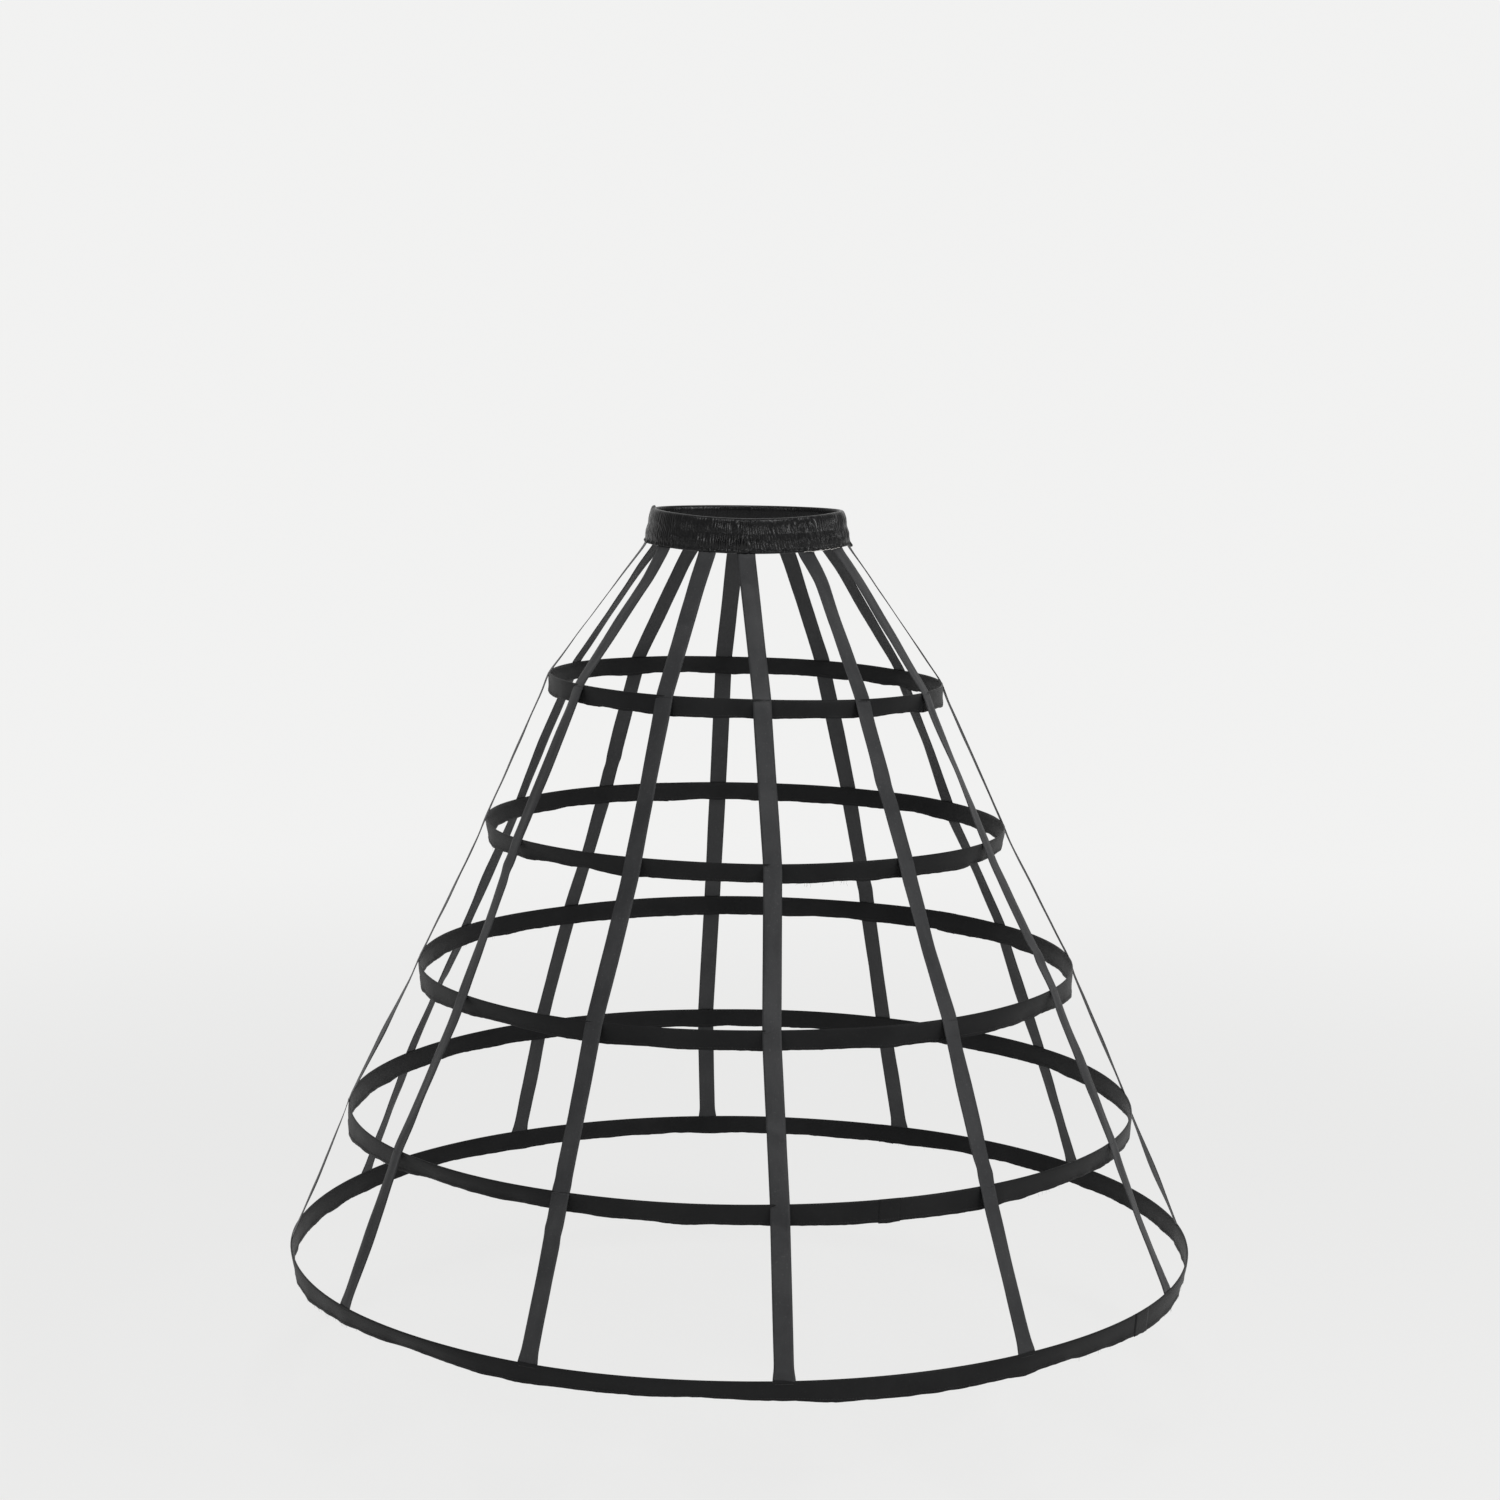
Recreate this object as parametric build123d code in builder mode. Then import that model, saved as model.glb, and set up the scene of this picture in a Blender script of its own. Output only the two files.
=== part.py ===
from build123d import *
from math import cos, degrees, radians, sin
import os

# A pull-on crinoline cage: a gathered waistband over elastic, five steel hoops in ribbon
# casings, and twelve ribbon tapes that hang the hoops from the waist.
# Millimetres, +Z up, -Y towards the viewer, origin in the middle of the waistband.

# Waistband, an oval
waist_width = 246.0
waist_depth = 178.0
band_height = 41.0
band_wall = 1.2
gather_count = 60
gather_depth = 2.2
stitch_count = 30

# Elastic inside the waistband
elastic_height = 32.0
elastic_thickness = 1.5
elastic_clearance = 0.4

# Hoops from the hip to the hem: the drop below the waist, and the outside diameter of the casing
hoop_drops = [194.0, 373.0, 547.0, 725.0, 900.0]
hoop_diameters = [486.0, 644.0, 816.0, 980.0, 1126.0]

# Ribbon casing of a hoop: folded over at the top, its two layers seamed together at the bottom
casing_height = 22.0
casing_wall = 0.4

# Flat steel bone in a casing, and the crimped sleeve that joins its two ends
bone_height = 9.0
bone_thickness = 0.7
bone_end_gap = 2.0
bone_clearance = 0.1
sleeve_length = 26.0
sleeve_wall = 0.25
sleeve_angle = 80.0

# Ribbon tapes, sewn under the waistband and to every casing. Angles run from the viewer's side
tape_count = 12
tape_width = 22.0
tape_thickness = 0.7
first_tape_angle = 5.0

os.makedirs("parts", exist_ok=True)

# Waistband and its elastic. The cloth is pinched into gathers outside, and inside it lies
# straight from one upright line of stitches to the next, as the elastic does
elastic_outer_inset = gather_depth + band_wall + elastic_clearance
elastic_inner_inset = elastic_outer_inset + elastic_thickness
channel_outer_inset = elastic_outer_inset - elastic_clearance
channel_inner_inset = elastic_inner_inset + elastic_clearance
channel_height = elastic_height + 2 * elastic_clearance
band_inner_inset = channel_inner_inset + band_wall


def oval_point(inset, turn):
    """A point on the band's oval, drawn in by an inset, at a turn from the viewer's side."""
    half_width = waist_width / 2 - inset
    half_depth = waist_depth / 2 - inset
    return half_width * sin(radians(turn)), -half_depth * cos(radians(turn))


def gathered_oval():
    """The puckered outline of the band: a crease and a crest for each gather."""
    points = []
    for index in range(gather_count):
        points.append(oval_point(gather_depth, 360 * index / gather_count))
        points.append(oval_point(0, 360 * (index + 0.5) / gather_count))
    Polyline(*points, close=True)


def stitched_oval(inset):
    """The band's oval, drawn straight from one line of stitches to the next."""
    Polyline(*[oval_point(inset, 360 * index / stitch_count) for index in range(stitch_count)], close=True)


with BuildPart() as waistband_casing:
    with BuildSketch():
        with BuildLine():
            gathered_oval()
        make_face()
        with BuildLine():
            stitched_oval(band_inner_inset)
        make_face(mode=Mode.SUBTRACT)
    extrude(amount=band_height / 2, both=True)
    with BuildSketch():
        with BuildLine():
            stitched_oval(channel_outer_inset)
        make_face()
        with BuildLine():
            stitched_oval(channel_inner_inset)
        make_face(mode=Mode.SUBTRACT)
    extrude(amount=channel_height / 2, both=True, mode=Mode.SUBTRACT)
waistband_casing.part.label = "waistband_casing"
export_step(waistband_casing.part, "parts/waistband_casing.step")

with BuildPart() as waist_elastic:
    with BuildSketch():
        with BuildLine():
            stitched_oval(elastic_outer_inset)
        make_face()
        with BuildLine():
            stitched_oval(elastic_inner_inset)
        make_face(mode=Mode.SUBTRACT)
    extrude(amount=elastic_height / 2, both=True)
waist_elastic.part.label = "waist_elastic"
export_step(waist_elastic.part, "parts/waist_elastic.step")

# Hoops. The casing's section is a narrow wedge: the pocket at the top has room for the sleeve,
# and below the bone the two layers close to the seam at the bottom edge
sleeve_height = bone_height + 2 * sleeve_wall
sleeve_thickness = bone_thickness + 2 * sleeve_wall
height_below_sleeve = casing_height - casing_wall - sleeve_height
width_at_sleeve_foot = sleeve_thickness + bone_clearance + 2 * casing_wall
casing_top_width = width_at_sleeve_foot * casing_height / height_below_sleeve
pocket_top_width = casing_top_width * (casing_height - casing_wall) / casing_height - 2 * casing_wall
pocket_height = pocket_top_width * casing_height / casing_top_width
hoops = list(zip(hoop_drops, hoop_diameters))


def pocket_corner(drop, diameter):
    """The outer top corner of a casing's pocket: radius and height."""
    return diameter / 2 - casing_wall, -drop + casing_height / 2 - casing_wall


def bone_corner(drop, diameter):
    """The outer top corner of a bone, which its sleeve holds off the pocket's wall and fold."""
    radius, height = pocket_corner(drop, diameter)
    return radius - sleeve_wall, height - sleeve_wall


for number, (drop, diameter) in enumerate(hoops, start=1):
    casing_radius = diameter / 2
    casing_top = -drop + casing_height / 2
    pocket_radius, pocket_top = pocket_corner(drop, diameter)
    with BuildPart() as hoop_casing:
        with BuildSketch(Plane.XZ):
            with BuildLine():
                Polyline(
                    (casing_radius, casing_top - casing_height),
                    (casing_radius, casing_top),
                    (casing_radius - casing_top_width, casing_top),
                    close=True,
                )
            make_face()
            with BuildLine():
                Polyline(
                    (pocket_radius, pocket_top - pocket_height),
                    (pocket_radius, pocket_top),
                    (pocket_radius - pocket_top_width, pocket_top),
                    close=True,
                )
            make_face(mode=Mode.SUBTRACT)
        revolve(axis=Axis.Z)
    hoop_casing.part.label = f"hoop_casing_{number}"
    export_step(hoop_casing.part, f"parts/hoop_casing_{number}.step")

with BuildPart() as hoop_bones:
    for drop, diameter in hoops:
        gap_turn = degrees(bone_end_gap / (diameter / 2))
        with BuildSketch(Plane.XZ.rotated((0, 0, sleeve_angle + gap_turn / 2))):
            with Locations(bone_corner(drop, diameter)):
                Rectangle(bone_thickness, bone_height, align=(Align.MAX, Align.MAX))
        revolve(axis=Axis.Z, revolution_arc=360 - gap_turn)
hoop_bones.part.label = "hoop_bones"
export_step(hoop_bones.part, "parts/hoop_bones.step")

with BuildPart() as bone_sleeves:
    for drop, diameter in hoops:
        sleeve_turn = degrees(sleeve_length / (diameter / 2))
        with BuildSketch(Plane.XZ.rotated((0, 0, sleeve_angle - sleeve_turn / 2))):
            with Locations(pocket_corner(drop, diameter)):
                Rectangle(sleeve_thickness, sleeve_height, align=(Align.MAX, Align.MAX))
            with Locations(bone_corner(drop, diameter)):
                Rectangle(bone_thickness, bone_height, align=(Align.MAX, Align.MAX), mode=Mode.SUBTRACT)
        revolve(axis=Axis.Z, revolution_arc=sleeve_turn)
bone_sleeves.part.label = "bone_sleeves"
export_step(bone_sleeves.part, "parts/bone_sleeves.step")

# Tapes. From the first hoop down a tape hangs in one upright plane, outside every casing, and
# is tucked into the fold of the last one. Above the first hoop it leans over to the waistband
tape_path = []
for drop, diameter in hoops[:-1]:
    tape_path.append((diameter / 2, -drop + casing_height / 2))
    tape_path.append((diameter / 2, -drop - casing_height / 2))
tuck_radius = hoop_diameters[-1] / 2 - (casing_top_width + tape_thickness) / 2
tape_path.append((tuck_radius, -hoop_drops[-1] + casing_height / 2))
tape_outside = [(radius + tape_thickness, height) for radius, height in reversed(tape_path)]
first_radius, first_height = tape_path[0]
band_middle_inset = (gather_depth + band_inner_inset) / 2

for number in range(1, tape_count + 1):
    turn = first_tape_angle + 360 * (number - 1) / tape_count
    outward = Vector(sin(radians(turn)), -cos(radians(turn)), 0)
    sideways = Vector(cos(radians(turn)), sin(radians(turn)), 0)
    hoop_end = outward * (first_radius + tape_thickness / 2) + Vector(0, 0, first_height)
    band_end = Vector(*oval_point(band_middle_inset, turn), -band_height / 2)
    with BuildPart() as tape:
        with BuildSketch(Plane(origin=(0, 0, 0), x_dir=outward, z_dir=-sideways)):
            with BuildLine():
                Polyline(*tape_path, *tape_outside, close=True)
            make_face()
        extrude(amount=tape_width / 2, both=True)
        for end in (hoop_end, band_end):
            with BuildSketch(Plane(origin=end, x_dir=sideways, z_dir=(0, 0, 1))):
                Rectangle(tape_width, tape_thickness)
        loft(ruled=True)
    tape.part.label = f"tape_{number:02d}"
    export_step(tape.part, f"parts/tape_{number:02d}.step")
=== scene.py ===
"""The looks of a black pull-on crinoline cage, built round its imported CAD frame.

A gathered satin waistband, five steel hoops in folded ribbon casings, and twelve ribbon tapes
that hang the hoops from the waist. Metres, +Z up, -Y towards the viewer.
"""

from functools import lru_cache
from math import atan2, cos, exp, hypot, pi, radians, sin, tau

import bmesh
import bpy
from bpy.props import FloatProperty, FloatVectorProperty, IntProperty, PointerProperty
from mathutils import Euler, Matrix, Vector, noise


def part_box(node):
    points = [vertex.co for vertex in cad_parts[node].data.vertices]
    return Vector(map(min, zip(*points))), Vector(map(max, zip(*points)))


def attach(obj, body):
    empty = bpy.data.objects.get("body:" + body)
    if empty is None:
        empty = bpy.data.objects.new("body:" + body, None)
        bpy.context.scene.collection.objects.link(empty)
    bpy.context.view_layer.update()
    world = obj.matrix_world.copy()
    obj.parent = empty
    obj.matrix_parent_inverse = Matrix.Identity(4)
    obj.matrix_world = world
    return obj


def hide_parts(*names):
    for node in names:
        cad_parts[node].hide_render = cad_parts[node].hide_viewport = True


bl_info = {
    "name": "Crinoline cage",
    "version": (1, 0, 0),
    "blender": (4, 5, 0),
    "location": "3D View > Sidebar > Crinoline",
    "description": "Builds the cloth, stitches and finishes of a crinoline cage",
    "category": "Object",
}

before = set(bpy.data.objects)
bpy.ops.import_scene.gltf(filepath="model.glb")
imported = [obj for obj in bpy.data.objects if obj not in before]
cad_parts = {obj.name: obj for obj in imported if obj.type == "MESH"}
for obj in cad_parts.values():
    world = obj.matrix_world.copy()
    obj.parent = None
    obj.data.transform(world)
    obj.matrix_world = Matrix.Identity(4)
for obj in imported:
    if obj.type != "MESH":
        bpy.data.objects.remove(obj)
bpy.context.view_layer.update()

MM = 0.001
HOOPS = range(1, 6)
TAPES = range(1, 13)
FIRST_TAPE_TURN = 5.0
BONE_JOINT_TURN = 80.0
TAPE_STEP = 30.0
CASING_HEIGHT = 0.022
MID_GREY = 0.22
BACKDROP = (0.885, 0.885, 0.88, 1.0)
SIDEBAR = "Crinoline"
# Two points of a ring lie at one place of its section if they are closer than this along it
LEVEL_LIMIT = 0.00001
# How far in from a casing's outline the middle of its fold is, and how far below its top the
# tapes pass, in metres
FOLD = 0.0012
# The spacing of the points along a tape, and the length over which it turns from the band's
# side to the hoops', in metres
TAPE_ROW = 0.0045
TAPE_TURN_LENGTH = 0.09

# The band's section, from the middle of its lower edge up the outside, over the top and down
# the inside: how far in from the outline, and how high, in millimetres
BAND_SECTION = (
    (3.4, -21.4), (2.1, -21.7), (1.1, -21.1), (0.6, -19.9), (0.5, -18.7), (0.7, -17.4),
    (0.9, -16.2), (0.7, -15.0), (0.5, -13.2), (0.4, -11.2), (0.3, -9.2), (0.2, -7.2),
    (0.2, -5.2), (0.3, -3.2), (0.5, -1.2), (0.7, 0.6), (0.8, 2.0), (0.7, 3.4), (0.5, 5.2),
    (0.4, 7.2), (0.4, 9.4), (0.5, 11.8), (0.6, 14.2), (0.8, 16.6), (1.2, 18.6), (2.3, 20.0),
    (3.5, 20.4), (4.9, 20.2), (6.0, 18.4), (6.4, 13.5), (6.5, 7.5), (6.7, 1.5), (6.5, -4.5),
    (6.6, -10.5), (6.5, -16.5), (5.6, -20.4),
)
# A casing's section, from its lower edge up the outside, over the bone and down the inside:
# how far out from the hoop's outline, and how far below its top, in millimetres
CASING_SECTION = (
    (-0.62, -22.0), (-0.58, -20.6), (-0.66, -19.2), (-0.55, -17.0), (-0.45, -14.4),
    (-0.28, -12.0), (0.0, -9.8), (0.14, -7.4), (0.18, -5.0), (0.14, -2.8), (-0.08, -1.2),
    (-0.55, -0.3), (-1.2, 0.0), (-1.85, -0.3), (-2.3, -1.2), (-2.5, -2.8), (-2.5, -5.4),
    (-2.42, -8.2), (-2.1, -10.8), (-1.75, -13.4), (-1.5, -16.4), (-1.32, -19.2),
    (-1.44, -20.6), (-1.36, -22.0),
)
# The bones, and the sleeves that join their ends: how far out from the hoop's outline their
# outer and inner sides are, and how far below the casing's top their own top and foot are
BONE_BOX = (-0.65, -1.35, -0.65, -9.65)
SLEEVE_BOX = (-0.40, -1.60, -0.40, -9.90)
# Half the gap between a bone's ends, and half a sleeve's length, in metres
HALF_GAP = 0.001
HALF_SLEEVE = 0.013
# How each hoop hangs, in millimetres: how far it is shifted to the side, how far it is raised,
# and how much further it is raised at the viewer's right and at the viewer's side
HOOP_LIES = (
    (-1.0, -1.0, -4.4, 0.5), (0.5, -0.9, -2.2, 0.2), (3.0, -0.3, 1.0, -0.4),
    (-1.0, 0.3, 1.2, 0.8), (0.5, 0.2, 1.2, 0.2),
)
# How far the lower edge of each casing swings out, in degrees, and how much deeper than the
# bare section the ribbon is sewn, as a share
CASING_LIES = ((-2, 0.02), (-17, 0.08), (-12, 0.14), (-10, 0.13), (-14, 0.12))
# Where a casing differs from that: the hoop, the turn and the spread of the place in degrees,
# how much further its lower edge swings out in degrees, and how much deeper it is as a share
CASING_PLACES = (
    (1, -16, 10, 6, 0.06), (1, 45, 14, -6, -0.06), (1, 150, 20, 7, 0.00),
    (1, -72, 14, 14, 0.06), (1, 74, 14, 14, 0.08),
    (2, -44, 14, -6, -0.06), (2, 45, 16, 10, 0.04), (2, -120, 18, 8, 0.00),
    (2, -74, 12, 16, 0.06), (2, 80, 12, 10, 0.00),
    (3, -40, 16, -4, -0.03), (3, 40, 14, 12, 0.04), (3, 170, 20, -8, 0.02),
    (3, -72, 12, 12, 0.04), (3, 76, 10, 16, 0.08),
    (4, -38, 14, -12, -0.04), (4, 24, 14, 12, 0.10), (4, 140, 18, 8, 0.04),
    (4, -74, 12, 16, 0.06), (4, 84, 14, 12, 0.04),
    (5, -68, 8, 8, 0.02), (5, -41, 6, -10, -0.06), (5, -3, 7, -8, -0.08),
    (5, 18, 14, 14, 0.03), (5, 44, 8, 0, 0.06), (5, 62, 12, 12, 0.12), (5, 118, 14, 4, 0.05),
    (5, 35.2, 1.8, 0, 0.07), (5, 44.3, 1.6, 0, 0.09), (5, 51, 1.6, 0, 0.08),
    (4, 41, 1.8, 0, 0.08), (4, -52, 1.8, 0, 0.06),
)
# Where the two ends of a casing's ribbon lap: the hoop, the turn in degrees, and the length
# of the lap in millimetres
CASING_LAPS = ((1, 118, 28), (2, 202, 30), (3, 138, 30), (4, 20, 26), (5, 57, 34), (5, 158, 22))
# Where the lower edge of a casing is frayed: the hoop, the turn and the spread of the place in
# degrees, and the number of loose threads
FRAYS = (
    (4, -59, 3, 9), (5, -55, 4, 10), (5, -63, 3, 8), (5, 72, 5, 14), (5, 47, 4, 7), (4, 46, 3, 6),
    (2, 18, 8, 14), (5, -127, 3, 6), (5, 154, 4, 6), (4, 150, 6, 6), (3, -120, 5, 6),
    (2, -70, 5, 5),
)
# The turns of the pale tacking stitches, in degrees
TACKS = (38, 40.5, 43, 45.2, 48, 50.4, 53, 55.4, 58, 61, 64)
# How far each tape lies aside of its even place, towards the next tape, in millimetres: at
# the waistband and at each of the five hoops
TAPE_SHIFTS = (
    (-12, -2, 4, -5, 3, 2), (8, -3, 2, 0, -1, 1), (0, -10, -7, -1, 0, 7),
    (0, 0, 0, 0, 0, 0), (3, 2, 1, -5, -2, 6), (2, 4, -1, 7, 10, 11),
    (4, 9, 10, 12, 9, 1), (0, 2, 2, 6, -2, -8), (-3, -7, -5, -6, -7, -8),
    (0, 0, 0, 0, 0, 0), (-5, 1, -11, 5, 3, 4), (-2, 9, 10, 3, 10, 7),
)
# Places on the tapes that were folded once: tape, metres down from the band, spread, depth
TAPE_CREASES = (
    (1, 0.735, 0.006, 0.0011), (1, 0.835, 0.007, -0.0012), (1, 0.060, 0.008, 0.0010),
    (2, 0.790, 0.007, 0.0011), (2, 0.330, 0.010, -0.0010), (3, 0.560, 0.008, 0.0012),
    (12, 0.800, 0.008, -0.0011), (12, 0.855, 0.006, 0.0011), (11, 0.450, 0.009, 0.0012),
    (6, 0.600, 0.010, 0.0013), (8, 0.380, 0.008, -0.0012), (9, 0.700, 0.009, 0.0012),
)
# How far each tape is twisted in the gaps above the five hoops, in degrees
TAPE_TWISTS = (
    (5, -4, 6, -5, 4), (-6, 5, -4, 7, -6), (6, -8, 5, 6, -7), (3, -2, -2, -4, -11),
    (-5, 6, 4, -7, 5), (4, -6, 7, 5, -4), (-6, 4, -5, 6, 7), (5, 7, -6, -4, 6),
    (-4, 5, 8, -6, -5), (4, -2, -2, -10, -3), (-5, -5, 4, 6, -8), (-4, 6, -5, 4, 6),
)
# How far each tape stands off the straight line just below the band, in millimetres
TAPE_HIPS = (2.0, 8.0, 3.0, 0.5, 3.0, 3.5, 3.0, 3.0, 2.0, 0.5, -3.5, 2.5)


def rgb(name, description, default):
    """A colour to set in the sidebar."""
    return FloatVectorProperty(
        name=name, description=description, default=default, subtype="COLOR", min=0, max=1
    )


def metres(name, description, default):
    """A length in metres to set in the sidebar."""
    return FloatProperty(name=name, description=description, default=default, unit="LENGTH")


class CageColours(bpy.types.PropertyGroup):
    """Colours of the cloth, threads, steel and floor"""

    band: rgb("Waistband", "Satin of the waistband", (0.0034, 0.0034, 0.0038))
    # The casings and the tapes are one ribbon: this darker copy of its colour is painted shade
    casing: rgb("Casings", "Ribbon of the hoop casings", (0.0092, 0.0094, 0.0098))
    # This paler copy of the same ribbon's colour is painted light, the sheen of tapes that face
    # the lamps
    tape: rgb("Tapes", "Ribbon of the hanging tapes", (0.0215, 0.0221, 0.0237))
    thread: rgb("Thread", "Sewing thread", (0.006, 0.006, 0.0065))
    pale_thread: rgb("Pale thread", "Tacking thread left in the waistband", (0.62, 0.60, 0.57))
    elastic: rgb("Elastic", "Elastic inside the waistband", (0.05, 0.05, 0.05))
    steel: rgb("Steel", "Bones inside the casings", (0.46, 0.46, 0.47))
    floor: rgb("Floor", "Floor and backdrop", (0.86, 0.86, 0.855))


class BandSizes(bpy.types.PropertyGroup):
    """Sizes of the gathered waistband"""

    flare: metres("Flare", "How far the lower edge stands out beyond the middle", 0.004)
    rise: metres("Rise", "How far the sides sit above the middle height", 0.0025)
    dip: metres("Dip", "How far the front hangs below the sides", 0.007)
    gathers: IntProperty(
        name="Gathers", description="Gathers round the band", default=196, min=40,
    )
    gather_depth: metres("Gather depth", "Height of a gather's crest over its creases", 0.0026)
    aside: metres("Aside", "How far the band sits to the viewer's right", -0.002)
    cloth: metres("Cloth", "Thickness of the satin", 0.00025)


class HoopSizes(bpy.types.PropertyGroup):
    """Sizes of the hoop casings"""

    cloth: metres("Cloth", "Thickness of the ribbon", 0.00035)
    sway: metres("Sway", "How far a hoop strays from a true circle", 0.0010)
    pucker: metres("Pucker", "How far the lower edge ripples at its seam", 0.0011)
    stitch: metres("Stitch", "Length of one stitch", 0.0022)
    thread: metres("Thread", "Thickness of the thread", 0.00035)


class TapeSizes(bpy.types.PropertyGroup):
    """Sizes of the hanging tapes"""

    width: metres("Width", "Width of the ribbon", 0.022)
    cloth: metres("Cloth", "Thickness of the ribbon", 0.0005)
    stand_off: metres("Stand off", "Gap from a hoop's outline to the middle of the ribbon", 0.0009)
    spring: metres("Spring", "How far a tape stands off the lower edge of a casing", 0.0062)
    slack: metres("Slack", "How far a tape bows between two hoops", 0.0016)
    tuck: metres("Tuck", "How far a tape runs into the fold of the last hoop", 0.0010)


class StageSizes(bpy.types.PropertyGroup):
    """Places of the camera and the floor"""

    camera_place: FloatVectorProperty(
        name="Camera", description="Where the camera stands", subtype="TRANSLATION",
        default=(0.005, -3.6757, 0.223),
    )
    camera_tilt: FloatProperty(
        name="Tilt", description="How far the camera looks down", subtype="ANGLE",
        default=radians(7.726),
    )
    camera_roll: FloatProperty(
        name="Roll", description="How far the camera is turned about its view", subtype="ANGLE",
        default=radians(0.793),
    )
    lens: FloatProperty(name="Lens", description="Focal length in millimetres", default=71.77)
    floor_height: metres("Floor", "Height of the floor", -1.11)


# Finishes


def feed(tree, node, inputs):
    """Gives a node's inputs, by name or number, their values, or the sockets that feed them."""
    for name, value in inputs.items():
        if isinstance(value, bpy.types.NodeSocket):
            tree.links.new(value, node.inputs[name])
        else:
            node.inputs[name].default_value = value


def node_in(tree, kind, place, inputs=None, **settings):
    """Adds a node, with its settings and inputs, and returns it."""
    node = tree.nodes.new(kind)
    node.location = place
    for name, value in settings.items():
        setattr(node, name, value)
    feed(tree, node, inputs or {})
    return node


def arithmetic(tree, operation, place, *values):
    """Adds a Math node whose inputs are sockets or numbers, and returns its result."""
    inputs = dict(enumerate(values))
    return node_in(tree, "ShaderNodeMath", place, inputs, operation=operation).outputs[0]


def blend_colours(tree, place, factor, first, second):
    """Mixes two colours, which are sockets or values, and returns the mix."""
    inputs = {"Factor": factor, "A": first, "B": second}
    return node_in(tree, "ShaderNodeMix", place, inputs, data_type="RGBA").outputs["Result"]


def blend_surfaces(tree, share, first, second, output):
    """Sends a mix of two shaders to the tree's output."""
    inputs = {0: share, 1: first.outputs[0], 2: second.outputs[0]}
    mixed = node_in(tree, "ShaderNodeMixShader", (0, 0), inputs)
    feed(tree, tree.nodes[output], {"Surface": mixed.outputs[0]})


def backdrop_rays(tree):
    """Which rays see the backdrop's own colour: 1 for the straight ones, that come from the
    camera or through something clear, and 1 for these and the mirrored ones."""
    paths = node_in(tree, "ShaderNodeLightPath", (-900, 200)).outputs
    straight = arithmetic(
        tree, "MAXIMUM", (-700, 200), paths["Is Camera Ray"], paths["Is Transmission Ray"]
    )
    seen = arithmetic(tree, "MAXIMUM", (-500, 200), straight, paths["Is Glossy Ray"])
    return straight, seen


def new_group(name, inputs, outputs):
    """A shader node group, with what it is given, and its output node. Each input has a name,
    a kind and a default."""
    group = bpy.data.node_groups.new(name, "ShaderNodeTree")
    for label, kind, default in inputs:
        socket = group.interface.new_socket(label, in_out="INPUT", socket_type=kind)
        if default is not None:
            socket.default_value = default
    for label, kind in outputs:
        group.interface.new_socket(label, in_out="OUTPUT", socket_type=kind)
    entry = node_in(group, "NodeGroupInput", (-1000, 0))
    leave = node_in(group, "NodeGroupOutput", (800, 0))
    return group, entry.outputs, leave


def woven_ribbon_group():
    """Threads of a woven ribbon, read from a UV map in metres: x along it and y across it."""
    group, given, made = new_group(
        "Woven ribbon",
        (
            ("Place", "NodeSocketVector", None),
            ("Threads along", "NodeSocketFloat", 2200.0),
            ("Threads across", "NodeSocketFloat", 1700.0),
            ("Slub", "NodeSocketFloat", 0.35),
        ),
        (("Height", "NodeSocketFloat"), ("Shade", "NodeSocketFloat")),
    )
    split = node_in(group, "ShaderNodeSeparateXYZ", (-800, 200), {0: given["Place"]}).outputs
    along = arithmetic(group, "MULTIPLY", (-600, 300), split[0], given["Threads along"])
    across = arithmetic(group, "MULTIPLY", (-600, 100), split[1], given["Threads across"])
    warp = arithmetic(group, "SINE", (-420, 300), along)
    weft = arithmetic(group, "SINE", (-420, 100), across)
    crossing = arithmetic(group, "MULTIPLY", (-240, 200), warp, weft)
    stretch = node_in(
        group, "ShaderNodeMapping", (-800, -150),
        {"Vector": given["Place"], "Scale": (90.0, 900.0, 1.0)},
    )
    slub = node_in(
        group, "ShaderNodeTexNoise", (-600, -150),
        {"Vector": stretch.outputs[0], "Scale": 1.0, "Detail": 3.0},
    )
    streak = arithmetic(group, "MULTIPLY", (-240, -100), slub.outputs[0], given["Slub"])
    relief = arithmetic(group, "MULTIPLY_ADD", (0, 200), crossing, 0.5, 0.5)
    height = arithmetic(group, "ADD", (200, 200), relief, streak)
    shade = arithmetic(group, "MULTIPLY_ADD", (200, 0), crossing, 0.08, streak)
    feed(group, made, {"Height": height, "Shade": shade})
    return group


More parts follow.
